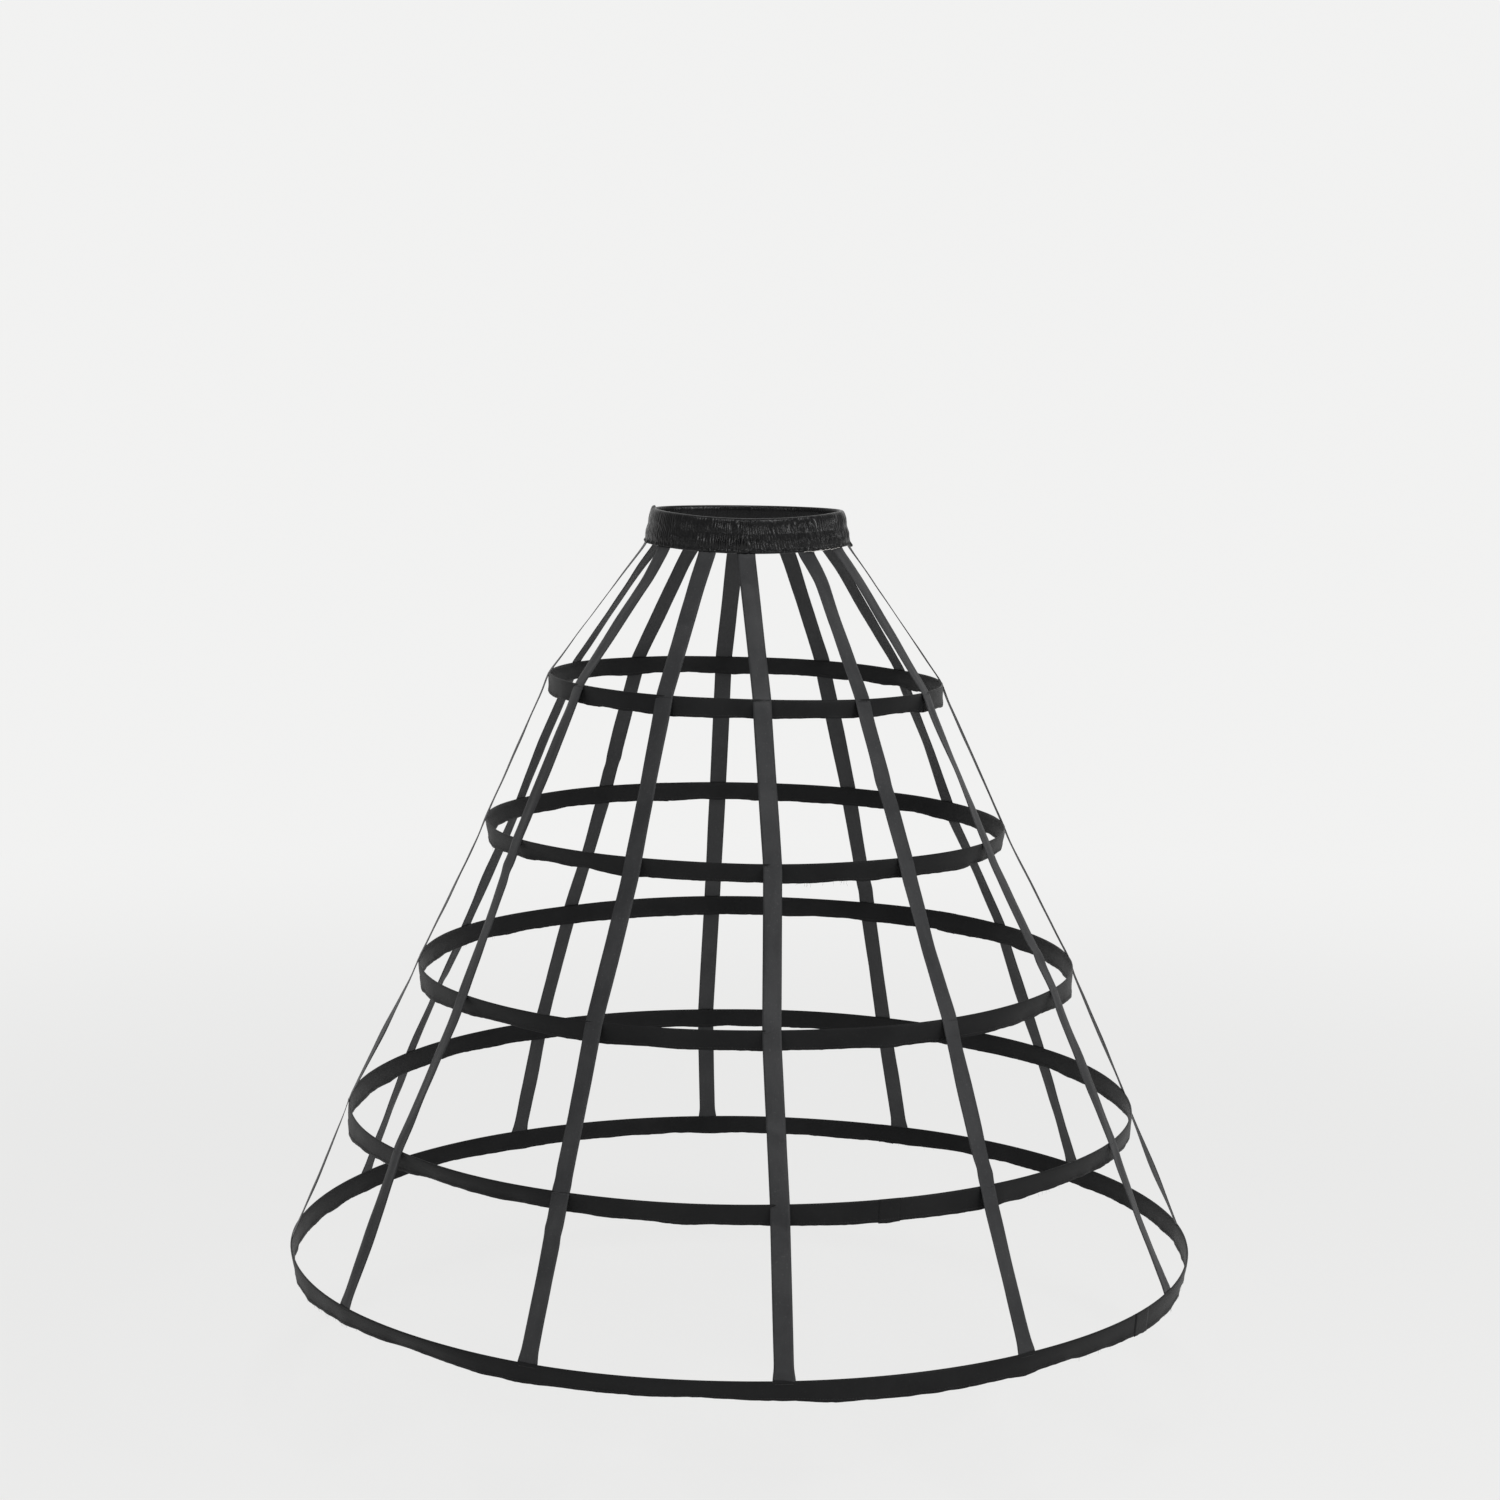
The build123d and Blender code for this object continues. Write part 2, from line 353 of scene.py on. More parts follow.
def aged_cloth_group():
    """Uneven dye, rubbing and lint, read from Object coordinates."""
    group, given, made = new_group(
        "Aged cloth",
        (
            ("Place", "NodeSocketVector", None),
            ("Dye", "NodeSocketColor", (0.02, 0.02, 0.02, 1.0)),
            ("Rubbed", "NodeSocketColor", (0.08, 0.08, 0.08, 1.0)),
            ("Shade", "NodeSocketFloat", 0.0),
            ("Lint", "NodeSocketFloat", 0.5),
        ),
        (("Colour", "NodeSocketColor"), ("Roughness shift", "NodeSocketFloat")),
    )
    cloud = node_in(
        group, "ShaderNodeTexNoise", (-800, 200),
        {"Vector": given["Place"], "Scale": 14.0, "Detail": 5.0, "Roughness": 0.6},
    ).outputs[0]
    specks = node_in(
        group, "ShaderNodeTexNoise", (-800, -150),
        {"Vector": given["Place"], "Scale": 420.0, "Detail": 1.0},
    ).outputs[0]
    worn = node_in(
        group, "ShaderNodeMapRange", (-560, 200),
        {"Value": cloud, "From Min": 0.38, "From Max": 0.72, "To Max": 0.30},
    ).outputs[0]
    fluff = node_in(
        group, "ShaderNodeMapRange", (-560, -150),
        {"Value": specks, "From Min": 0.66, "From Max": 0.76},
    ).outputs[0]
    lint = arithmetic(group, "MULTIPLY", (-380, -150), fluff, given["Lint"])
    shaded = arithmetic(group, "MULTIPLY_ADD", (-380, 60), given["Shade"], 0.35, worn)
    amount = arithmetic(group, "ADD", (-200, 0), shaded, lint)
    colour = blend_colours(group, (0, 100), amount, given["Dye"], given["Rubbed"])
    shift = arithmetic(group, "MULTIPLY_ADD", (0, -150), cloud, 0.22, -0.11)
    feed(group, made, {"Colour": colour, "Roughness shift": shift})
    return group


def shared_group(name, make):
    """The node group of that name, made the first time that it is asked for."""
    return bpy.data.node_groups.get(name) or make()


def rubbed(colour, share):
    """A dyed colour, paler by a share of the way to a mid grey."""
    return tuple(part + (MID_GREY - part) * share for part in colour)


def empty_material(name):
    """A material with a Principled shader, its tree and that shader."""
    material = bpy.data.materials.new(name)
    material.use_nodes = True
    tree = material.node_tree
    return material, tree, tree.nodes["Principled BSDF"]


def cloth_finish(name, dye, wear, rough, gloss, threads, relief, sheen=0.0, lint=0.3):
    """A woven finish. Wear pales it, gloss is its specular level, threads are its counts along
    and across in radians for each metre, and relief is the depth of its weave in metres."""
    material, tree, cloth = empty_material(name)
    coordinates = node_in(tree, "ShaderNodeTexCoord", (-1200, 0))
    pattern = node_in(tree, "ShaderNodeUVMap", (-1200, -300), uv_map="ribbon")
    weave = node_in(
        tree, "ShaderNodeGroup", (-900, -300),
        node_tree=shared_group("Woven ribbon", woven_ribbon_group),
    )
    feed(tree, weave, {
        "Place": pattern.outputs["UV"], "Threads along": threads[0], "Threads across": threads[1],
    })
    age = node_in(
        tree, "ShaderNodeGroup", (-600, 100),
        node_tree=shared_group("Aged cloth", aged_cloth_group),
    )
    feed(tree, age, {
        "Place": coordinates.outputs["Object"], "Shade": weave.outputs["Shade"],
        "Dye": (*dye, 1.0), "Rubbed": (*rubbed(dye, wear), 1.0), "Lint": lint,
    })
    roughness = arithmetic(tree, "ADD", (-300, -60), age.outputs["Roughness shift"], rough)
    bump = node_in(
        tree, "ShaderNodeBump", (-300, -300),
        {"Strength": 0.8, "Distance": relief, "Height": weave.outputs["Height"]},
    )
    feed(tree, cloth, {
        "Base Color": age.outputs["Colour"], "Roughness": roughness,
        "Normal": bump.outputs["Normal"], "Specular IOR Level": gloss,
        "Sheen Weight": sheen, "Sheen Roughness": 0.45,
    })
    return material


def grained_finish(name, colour, other, grain, rough, spread):
    """A finish between two colours and over a spread of roughness, by a fine grain with its
    scale and detail. Returns the material, its tree, its shader and the grain."""
    material, tree, shader = empty_material(name)
    coordinates = node_in(tree, "ShaderNodeTexCoord", (-1000, 0))
    noisy = node_in(
        tree, "ShaderNodeTexNoise", (-760, 100),
        {"Vector": coordinates.outputs["Object"], "Scale": grain[0], "Detail": grain[1]},
    ).outputs[0]
    mixed = blend_colours(tree, (-400, 160), noisy, (*colour, 1.0), (*other, 1.0))
    roughness = arithmetic(tree, "MULTIPLY_ADD", (-400, -60), noisy, spread, rough)
    feed(tree, shader, {"Base Color": mixed, "Roughness": roughness})
    return material, tree, shader, noisy


def thread_finish(name, dye, rough):
    """A twisted sewing thread."""
    material, tree, thread, _ = grained_finish(
        name, dye, rubbed(dye, 0.3), (900.0, 2.0), rough, 0.2
    )
    feed(tree, thread, {"Specular IOR Level": 0.2})
    return material


def steel_finish(name, colour, rough):
    """Drawn steel with fine scratches and dull spots."""
    dull = tuple(part * 0.6 for part in colour)
    material, tree, steel, grain = grained_finish(name, colour, dull, (260.0, 6.0), rough, 0.3)
    bump = node_in(
        tree, "ShaderNodeBump", (-400, -260), {"Distance": 0.00005, "Height": grain}
    )
    feed(tree, steel, {"Normal": bump.outputs["Normal"], "Metallic": 1.0})
    return material


# Pieces


def turn_of(place):
    """The turn of a place about the middle, in radians from the viewer's side towards +X."""
    return atan2(place.x, -place.y)


def at_turn(turn, radius, height):
    """The place at a turn, a distance from the middle and a height."""
    return Vector((radius * sin(turn), -radius * cos(turn), height))


def drift(turn, rate, seed):
    """A smooth random value from about -1 to 1 that joins up after a full turn."""
    return 2 * noise.noise(Vector((rate * cos(turn), rate * sin(turn), seed)))


def bell(distance, spread):
    """A smooth hump of height 1 that dies away past its spread."""
    return exp(-((distance / spread) ** 2))


def turn_between(turn, other):
    """The shorter way round from one turn to another, in radians."""
    return (turn - other + pi) % tau - pi


def finished(name, shape, material, nodes=(), cloth=0.0):
    """Makes a piece of a bmesh, gives it its cloth's thickness and hangs it on the frame."""
    mesh = bpy.data.meshes.new(name)
    shape.to_mesh(mesh)
    shape.free()
    mesh.materials.append(material)
    mesh.shade_smooth()
    piece = bpy.data.objects.new(name, mesh)
    bpy.context.scene.collection.objects.link(piece)
    if cloth:
        wall = piece.modifiers.new("Cloth", "SOLIDIFY")
        wall.thickness = cloth
        wall.offset = -1.0
    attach(piece, "root")
    if nodes:
        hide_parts(*nodes)
    return piece


class Ring:
    """A bmesh of rings whose points remember where they lie in the section that was spun:
    how far out and how high they are, and how far along the section."""

    def __init__(self):
        self.shape = bmesh.new()
        layers = self.shape.verts.layers.float
        for name in ("out", "up", "run"):
            layers.new(name)
        self.out, self.up, self.run = (layers[name] for name in ("out", "up", "run"))
        self.girth = 0.0

    def mark(self, corner, out, up, run):
        """Notes a point's place in the section."""
        corner[self.out] = out
        corner[self.up] = up
        corner[self.run] = run

    def spin(self, section, radius, steps, cuts, start=0.0, angle=tau, closed=False):
        """Spins a section of (out, up) pairs in metres, then cuts each step finer. The faces
        of a closed section are turned outwards, and a cut ring of it gets caps."""
        shape = self.shape
        before = set(shape.verts)
        walked = 0.0
        corners = []
        for out, up in section:
            corner = shape.verts.new(at_turn(start, radius + out, up))
            if corners:
                walked += (corner.co - corners[-1].co).length
            self.mark(corner, out, up, walked)
            corners.append(corner)
        joined = corners + corners[:1] if closed else corners
        edges = [shape.edges.new(pair) for pair in zip(joined, joined[1:])]
        self.girth = walked + (joined[0].co - corners[-1].co).length
        bmesh.ops.spin(
            shape, geom=corners + edges, cent=(0, 0, 0), axis=(0, 0, 1), angle=angle,
            steps=steps, use_merge=angle == tau,
        )
        new = set(shape.verts) - before
        level = [
            edge for edge in shape.edges
            if edge.verts[0] in new
            and abs(edge.verts[0][self.run] - edge.verts[1][self.run]) < LEVEL_LIMIT
        ]
        bmesh.ops.subdivide_edges(shape, edges=level, cuts=cuts, use_grid_fill=True)
        if closed:
            bmesh.ops.holes_fill(shape, edges=shape.edges)
            bmesh.ops.recalc_face_normals(shape, faces=shape.faces)

    def area(self):
        """The area of all the ring's faces."""
        return sum(face.calc_area() for face in self.shape.faces)

    def copy_round(self, made, copies):
        """Copies new points evenly round the ring, in two spins: a short row, then its copies."""
        row = max(1, round(copies**0.5))
        rows = copies // row
        bmesh.ops.spin(
            self.shape, geom=with_neighbours(made), cent=(0, 0, 0), axis=(0, 0, 1),
            angle=tau * (row - 1) / (row * rows), steps=row - 1, use_duplicate=True,
        )
        bmesh.ops.spin(
            self.shape, geom=with_neighbours(self.shape.verts), cent=(0, 0, 0), axis=(0, 0, 1),
            angle=tau * (rows - 1) / rows, steps=rows - 1, use_duplicate=True,
        )

    def lay_pattern(self, radius):
        """Writes the UV map in metres: x round the ring, y along its section, which counts on
        where a closed section comes back to its start."""
        pattern = self.shape.loops.layers.uv.new("ribbon")
        for face in self.shape.faces:
            middle = turn_of(face.calc_center_median())
            furthest = max(corner[self.run] for corner in face.verts)
            for loop in face.loops:
                turn = middle + turn_between(turn_of(loop.vert.co), middle)
                run = loop.vert[self.run]
                if furthest - run > 0.6 * self.girth:
                    run += self.girth
                loop[pattern].uv = (turn * radius, run)

    def put(self, place):
        """Moves every point to where place(turn, out, up) says."""
        for corner in self.shape.verts:
            corner.co = place(turn_of(corner.co), corner[self.out], corner[self.up])


def with_neighbours(corners):
    """Points with the edges and faces between them."""
    geometry = set(corners)
    for corner in corners:
        geometry.update(corner.link_edges)
        geometry.update(corner.link_faces)
    return list(geometry)


def in_metres(section):
    """A section's pairs, from millimetres to metres."""
    return [(out * MM, up * MM) for out, up in section]


def tape_turn(number, stop=0):
    """The turn of a tape at the waistband, or at one of the hoops, in radians."""
    even = radians(FIRST_TAPE_TURN + TAPE_STEP * (number - 1))
    reach = hoop_outlines[stop][0] if stop else hypot(
        band_high.x * cos(even), band_high.y * sin(even)
    )
    return even + TAPE_SHIFTS[number - 1][stop] * MM / reach


def off_the_tapes(turn, radius):
    """From 0 under a tape, which holds a casing flat, to 1 between the tapes."""
    first = radians(FIRST_TAPE_TURN)
    step = radians(TAPE_STEP)
    nearest = abs((turn - first + step / 2) % step - step / 2) * radius
    return 1 - bell(nearest, 0.026)


def hoop_outline(number):
    """The radius and the top of a hoop's casing in the frame."""
    low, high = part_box(f"hoop_casing_{number}")
    return (high.x - low.x) / 2, high.z


hoop_outlines = {number: hoop_outline(number) for number in HOOPS}
band_low, band_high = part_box("waistband_casing")


@lru_cache(maxsize=None)
def casing_lie(number, turn):
    """How a casing lies at a turn: how far it is pushed out and lifted, how far its lower edge
    swings out, how much deeper it is sewn, and how its lower edge ripples and strays."""
    sizes = bpy.context.scene.cage_hoops
    radius = hoop_outlines[number][0]
    _, raised, right, front = HOOP_LIES[number - 1]
    push = sizes.sway * drift(turn, 1.3, 3.1 * number)
    lift = sizes.sway * 0.6 * drift(turn, 2.1, 5.3 * number + 20)
    lift += (raised + right * sin(turn) + front * cos(turn)) * MM
    swing, deeper = CASING_LIES[number - 1]
    swing += 5.0 * drift(turn, 3.4, 2.7 * number + 40)
    deeper += 0.045 * drift(turn, 4.0 + 12 * radius, 1.9 * number + 60)
    for hoop, degrees, spread, more_swing, share in CASING_PLACES:
        if hoop == number:
            near = bell(turn_between(turn, radians(degrees)), radians(spread))
            swing += more_swing * near
            deeper += share * near
    swing *= 0.75 + 0.25 * off_the_tapes(turn, radius)
    ripple = sizes.pucker * (
        0.2 * drift(turn, 90 * radius, 7.7 * number) + 0.9 * drift(turn, 34 * radius, 9.1 * number)
    )
    stray = 0.0003 * drift(turn, 130 * radius, 4.3 * number)
    return push, lift, radians(swing), deeper, ripple, stray


def on_casing(number, turn, out, up):
    """Where a point of a casing's section lies at a turn, once the cloth sways and leans."""
    radius, top = hoop_outlines[number]
    push, lift, swing, deeper, ripple, stray = casing_lie(number, round(turn, 6))
    below = max(0.0, -up / CASING_HEIGHT)
    hinge = -0.002
    fall = up * (1 + deeper) + stray * below**6 - hinge
    swung_out = out * cos(swing) - fall * sin(swing)
    swung_up = hinge + fall * cos(swing) + out * sin(swing)
    place = at_turn(turn, radius + push + swung_out + ripple * below**3, top + lift + swung_up)
    place.x += HOOP_LIES[number - 1][0] * MM
    return place


def band_lift(turn):
    """How far the band sits above its middle height at a turn: it dips at the front."""
    sizes = bpy.context.scene.cage_band
    return sizes.rise - sizes.dip * max(0.0, cos(turn)) ** 2


def band_even(turn):
    """The turn in the band's drawn circle of a place at a turn of its oval."""
    return turn - 0.08 * sin(2 * turn)


def on_band(turn, inset, height):
    """A place in the band's wall, on an oval that flares towards its lower edge."""
    sizes = bpy.context.scene.cage_band
    even = band_even(turn)
    inset += sizes.flare * height / band_high.z
    half_width = band_high.x - inset
    half_depth = band_high.y - inset
    return Vector(
        (half_width * sin(even) + sizes.aside, -half_depth * cos(even), height + band_lift(even))
    )


def gathered(turn, height):
    """How far the satin stands out in its gathers at a turn and a height."""
    sizes = bpy.context.scene.cage_band
    upper_row = bell(height - 0.0112, 0.0080)
    lower_row = bell(height + 0.0075, 0.0070)
    hem = bell(height + 0.0195, 0.0030)
    slant = 1.6 * bell(turn_between(turn, radians(28)), radians(24))
    slant += 0.8 * drift(turn, 6.0, 8.0)
    wander = 0.13 * drift(turn, 14.0, height * 80) + 0.9 * drift(turn, 3.0, 31.0)
    phase = sizes.gathers * turn / tau + wander + slant * (height + 0.007) / 0.016
    crest = abs(sin(pi * phase)) ** 1.2
    uneven = 0.78 + 0.42 * drift(turn, 30.0, 12.0 + height * 25)
    smooth_side = bell(turn_between(turn, radians(-78)), radians(30))
    smooth_side += 0.7 * bell(turn_between(turn, radians(84)), radians(15))
    fullness = (0.62 * upper_row + 0.90 * lower_row + 0.34 * hem + 0.10) * uneven
    pleats = crest * fullness * (1 - 0.88 * min(1.0, smooth_side))
    drag = abs(sin(pi * (turn * 9 + height * 110 + 0.8 * drift(turn, 5.0, 2.0)))) ** 3
    seam = bell(turn_between(turn, radians(-1.6)), radians(2.0))
    bulge = 0.8 * seam * (0.3 + lower_row)
    lumps = 0.35 * hem * drift(turn, 60.0, 14.0)
    return sizes.gather_depth * (pleats + 0.25 * drag * smooth_side + bulge + lumps)


def band_tab(turn, height):
    """The raised corners of the side seams: up at the left, down at the right."""
    left = bell(turn_between(turn, radians(-88)), radians(4.5)) * bell(height - 0.0205, 0.006)
    right = bell(turn_between(turn, radians(88)), radians(2.4)) * bell(height + 0.0205, 0.005)
    return 0.0032 * left, 0.0026 * right


class CAGE_OT_waistband(bpy.types.Operator):
    """Gathers the satin waistband over its elastic"""

    bl_idname = "cage.waistband"
    bl_label = "Waistband"

    def execute(self, context):
        sizes = context.scene.cage_band
        satin = cloth_finish(
            "Gathered satin", context.scene.cage_colours.band, wear=0.03, rough=0.26, gloss=0.28,
            threads=(9000, 5200), relief=0.00003, lint=0.25,
        )
        band = Ring()
        section = [(-inset * MM, up * MM) for inset, up in BAND_SECTION]
        band.spin(section, band_high.x, steps=sizes.gathers, cuts=5, closed=True)
        band.lay_pattern(band_high.x)
        band.put(self.place)
        area = band.area()
        piece = finished(
            "waistband", band.shape, satin, ["waistband_casing"], sizes.cloth
        )
        return {"FINISHED"}

    @staticmethod
    def place(turn, out, up):
        """Where a point of the band's section lies, with its gathers and side seams."""
        outside = 1 - min(1.0, max(0.0, -out / 0.006))
        pleat = gathered(turn, up) * (outside - 0.35 * (1 - outside))
        raised, lowered = band_tab(turn, up)
        return on_band(turn, -out - pleat - lowered, up + raised - lowered)


class CAGE_OT_elastic(bpy.types.Operator):
    """Runs the ribbed elastic through the waistband"""

    bl_idname = "cage.elastic"
    bl_label = "Elastic"

    def execute(self, context):
        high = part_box("waist_elastic")[1]
        ribbed = cloth_finish(
            "Ribbed elastic", context.scene.cage_colours.elastic, wear=0.1, rough=0.7, gloss=0.3,
            sheen=0.2, threads=(1400, 2600), relief=0.0002, lint=0.4,
        )
        outer = high.x - band_high.x
        inner = outer - 0.0015
        corners = [(outer, -high.z), (outer, high.z), (inner, high.z), (inner, -high.z)]
        elastic = Ring()
        elastic.spin(corners, band_high.x, steps=60, cuts=3, closed=True)
        elastic.lay_pattern(band_high.x)
        elastic.put(lambda turn, out, up: on_band(turn, -out, up))
        area = elastic.area() / 2
        piece = finished("elastic", elastic.shape, ribbed, ["waist_elastic"])
        return {"FINISHED"}


class CAGE_OT_hoops(bpy.types.Operator):
    """Folds a ribbon casing over each steel hoop"""

    bl_idname = "cage.hoops"
    bl_label = "Hoop casings"

    def execute(self, context):
        casing_lie.cache_clear()
        sizes = context.scene.cage_hoops
        # The casing colour is the tapes' ribbon made darker: painted shade
        ribbon = cloth_finish(
            "Casing ribbon with painted shade", context.scene.cage_colours.casing, wear=0.08, rough=0.48, gloss=0.10,
            threads=(8200, 5600), relief=0.00005,
        )
        section = in_metres(CASING_SECTION)
        folded = sum((Vector(a) - Vector(b)).length for a, b in zip(section, section[1:]))
        for number in HOOPS:
            radius = hoop_outlines[number][0]
            casing = Ring()
            casing.spin(section, radius, steps=60 + 12 * number, cuts=5)
            self.lap_ends(casing, number, section, radius)
            bmesh.ops.recalc_face_normals(casing.shape, faces=casing.shape.faces)
            self.face_outwards(casing.shape)
            casing.lay_pattern(radius)
            casing.put(lambda turn, out, up: on_casing(number, turn, out, up))
            area = casing.area()
            piece = finished(
                f"casing_ribbon_{number}", casing.shape, ribbon,
                [f"hoop_casing_{number}"], sizes.cloth,
            )
        return {"FINISHED"}

    @staticmethod
    def lap_ends(casing, number, section, radius):
        """Lays the lapped end of the ribbon over its start."""
        for hoop, degrees, length in CASING_LAPS:
            if hoop == number:
                lap = [(out * 1.05 + 0.0003, up * 1.04 + 0.0002) for out, up in section]
                angle = length * MM / radius
                casing.spin(
                    lap, radius, steps=8, cuts=0, start=radians(degrees) - angle / 2, angle=angle
                )

    @staticmethod
    def face_outwards(shape):
        """Turns the faces so that the folded ribbon's outer side is its front."""
        outermost = max(shape.faces, key=lambda face: face.calc_center_median().xy.length)
        centre = outermost.calc_center_median()
        if outermost.normal.dot(Vector((centre.x, centre.y, 0))) < 0:
            bmesh.ops.reverse_faces(shape, faces=shape.faces)


def tape_line(number):
    """The middle line of a tape from inside the band to the last hoop, evenly spaced."""
    sizes = bpy.context.scene.cage_tapes
    turn = tape_turn(number)
    stops = [on_band(turn, 0.004, -0.013), on_band(turn, 0.003, -0.0215)]
    first = over_hoop(number, 1, sizes.stand_off)
    for share, part in ((0.10, 0.55), (0.22, 1.0), (0.45, 0.6)):
        place = stops[1].lerp(first, share)
        outward = at_turn(turn, 1.0, 0.35).normalized()
        stops.append(place + outward * TAPE_HIPS[number - 1] * MM * part)
    stops.append(first)
    for hoop in (2, 3, 4, 5):
        above = stops[-1]
        here = over_hoop(number, hoop, sizes.stand_off if hoop < 5 else -FOLD)
        depth = CASING_HEIGHT / (above.z - here.z)
        edge = over_hoop(number, hoop - 1, sizes.spring)
        edge = above.lerp(here, depth).lerp(Vector((edge.x, edge.y, above.z - CASING_HEIGHT)), 0.4)
        slack = sizes.slack * noise.noise(Vector((number * 1.7, hoop * 2.3, 4.0))) * 2
        stops += [edge, edge.lerp(here, 0.5) + at_turn(turn, slack, 0.0), here]
    stops[-1] += Vector((0, 0, FOLD))
    stops.append(stops[-1] - Vector((0, 0, sizes.tuck)))
    line = [stops[0]]
    for here, there in zip(stops, stops[1:]):
        steps = max(1, round((there - here).length / TAPE_ROW))
        line += [here.lerp(there, (step + 1) / steps) for step in range(steps)]
    for _ in range(4):
        line[1:-1] = [
            (before + 2 * here + after) / 4
            for before, here, after in zip(line, line[1:], line[2:])
        ]
    return line


def twist_at(number, height):
    """How far a tape is twisted at a height: not at all where it is sewn to a hoop."""
    foot = band_low.z
    for hoop in HOOPS:
        top = hoop_outlines[hoop][1]
        if height > top:
            share = min(1.0, max(0.0, (foot - height) / (foot - top)))
            return radians(TAPE_TWISTS[number - 1][hoop - 1]) * sin(pi * share) ** 2
        foot = top - CASING_HEIGHT
    return 0.0


def over_hoop(number, hoop, out):
    """A place in front of the top of a hoop, at a tape's turn there."""
    return on_casing(hoop, tape_turn(number, hoop), out, -FOLD)


class CAGE_OT_tapes(bpy.types.Operator):
    """Hangs the ribbon tapes from the waistband over every hoop"""

    bl_idname = "cage.tapes"
    bl_label = "Tapes"

    def execute(self, context):
        sizes = context.scene.cage_tapes
        # The tape colour is the casings' ribbon made paler: painted light
        ribbon = cloth_finish(
            "Tape ribbon with painted light", context.scene.cage_colours.tape, wear=0.30, rough=0.50, gloss=0.25,
            threads=(7400, 5000), relief=0.00006,
        )
        for number in TAPES:
            line = tape_line(number)
            self.make_tape(number, line, ribbon, sizes)
        return {"FINISHED"}

    @staticmethod
    def make_tape(number, line, ribbon, sizes):
        """Lays a flat grid along the line, tangent to the band at its top and to the hoops."""
        turn = tape_turn(number)
        level = Vector((cos(turn), sin(turn), 0))
        even = band_even(turn)
        band_level = Vector((band_high.x * cos(even), band_high.y * sin(even), 0)).normalized()
        shape = bmesh.new()
        rows = len(line) - 1
        bmesh.ops.create_grid(shape, x_segments=8, y_segments=rows, size=0.5)
        pattern = shape.loops.layers.uv.new("ribbon")
        walked = [0.0]
        for here, there in zip(line, line[1:]):
            walked.append(walked[-1] + (there - here).length)
        for face in shape.faces:
            for loop in face.loops:
                row = round((0.5 - loop.vert.co.y) * rows)
                loop[pattern].uv = (walked[row], loop.vert.co.x * sizes.width)
        for corner in shape.verts:
            share = corner.co.x * 2
            row = round((0.5 - corner.co.y) * rows)
            down = walked[row]
            here = line[row]
            ahead = (line[min(row + 1, rows)] - line[max(row - 1, 0)]).normalized()
            settled = min(1.0, down / TAPE_TURN_LENGTH)
            across = band_level.lerp(level, settled * settled * (3 - 2 * settled)).normalized()
            face_out = across.cross(ahead).normalized()
            face_out *= 1 if face_out.dot(at_turn(turn, 1.0, 0.0)) > 0 else -1
            twist = twist_at(number, here.z)
            across, face_out = (
                across * cos(twist) + face_out * sin(twist),
                face_out * cos(twist) - across * sin(twist),
            )
            lift = -0.00025 * share * share
            for tape, distance, spread, depth in TAPE_CREASES:
                if tape == number:
                    lift += 1.3 * depth * bell(down - distance - 0.004 * share, spread)
            lift += 0.0007 * noise.noise(Vector((number * 3.1, down * 24, share * 1.2)))
            end = bell(walked[-1] - down, 0.010)
            width = sizes.width * (1 + 0.16 * end)
            width *= 1 + 0.03 * noise.noise(Vector((number * 5.3, down * 9, 2.0)))
            corner.co = here + across * corner.co.x * width + face_out * lift
        bmesh.ops.recalc_face_normals(shape, faces=shape.faces)
        middle = max(shape.faces, key=lambda face: face.calc_center_median().z)
        if middle.normal.dot(at_turn(turn, 1.0, 0.0)) < 0:
            bmesh.ops.reverse_faces(shape, faces=shape.faces)
        tape = finished(
            f"tape_ribbon_{number:02d}", shape, ribbon, [f"tape_{number:02d}"],
            sizes.cloth,
        )


def along(ahead):
    """The rotation that lays a thread along a direction."""
    return ahead.to_track_quat("Z", "Y").to_matrix().to_4x4()


def lay_thread(shape, middle, rotation, length, radius, end_radius, sides=5):
    """Lays a short straight thread through a place, and returns its points."""
    return bmesh.ops.create_cone(
        shape, cap_ends=True, segments=sides, radius1=radius, radius2=end_radius, depth=length,
        matrix=Matrix.Translation(middle) @ rotation,
    )["verts"]


def thread_ring(ring, radius, out, up, count, length, thickness):
    """Lays a ring of stitches: one short thread, copied round."""
    sideways = Euler((0, pi / 2, 0)).to_matrix().to_4x4()
    made = lay_thread(
        ring.shape, (0, -radius - out, up), sideways, length, thickness / 2, thickness / 2
    )
    for corner in made:
        ring.mark(corner, -corner.co.y - radius, corner.co.z, 0.0)
    ring.copy_round(made, count)


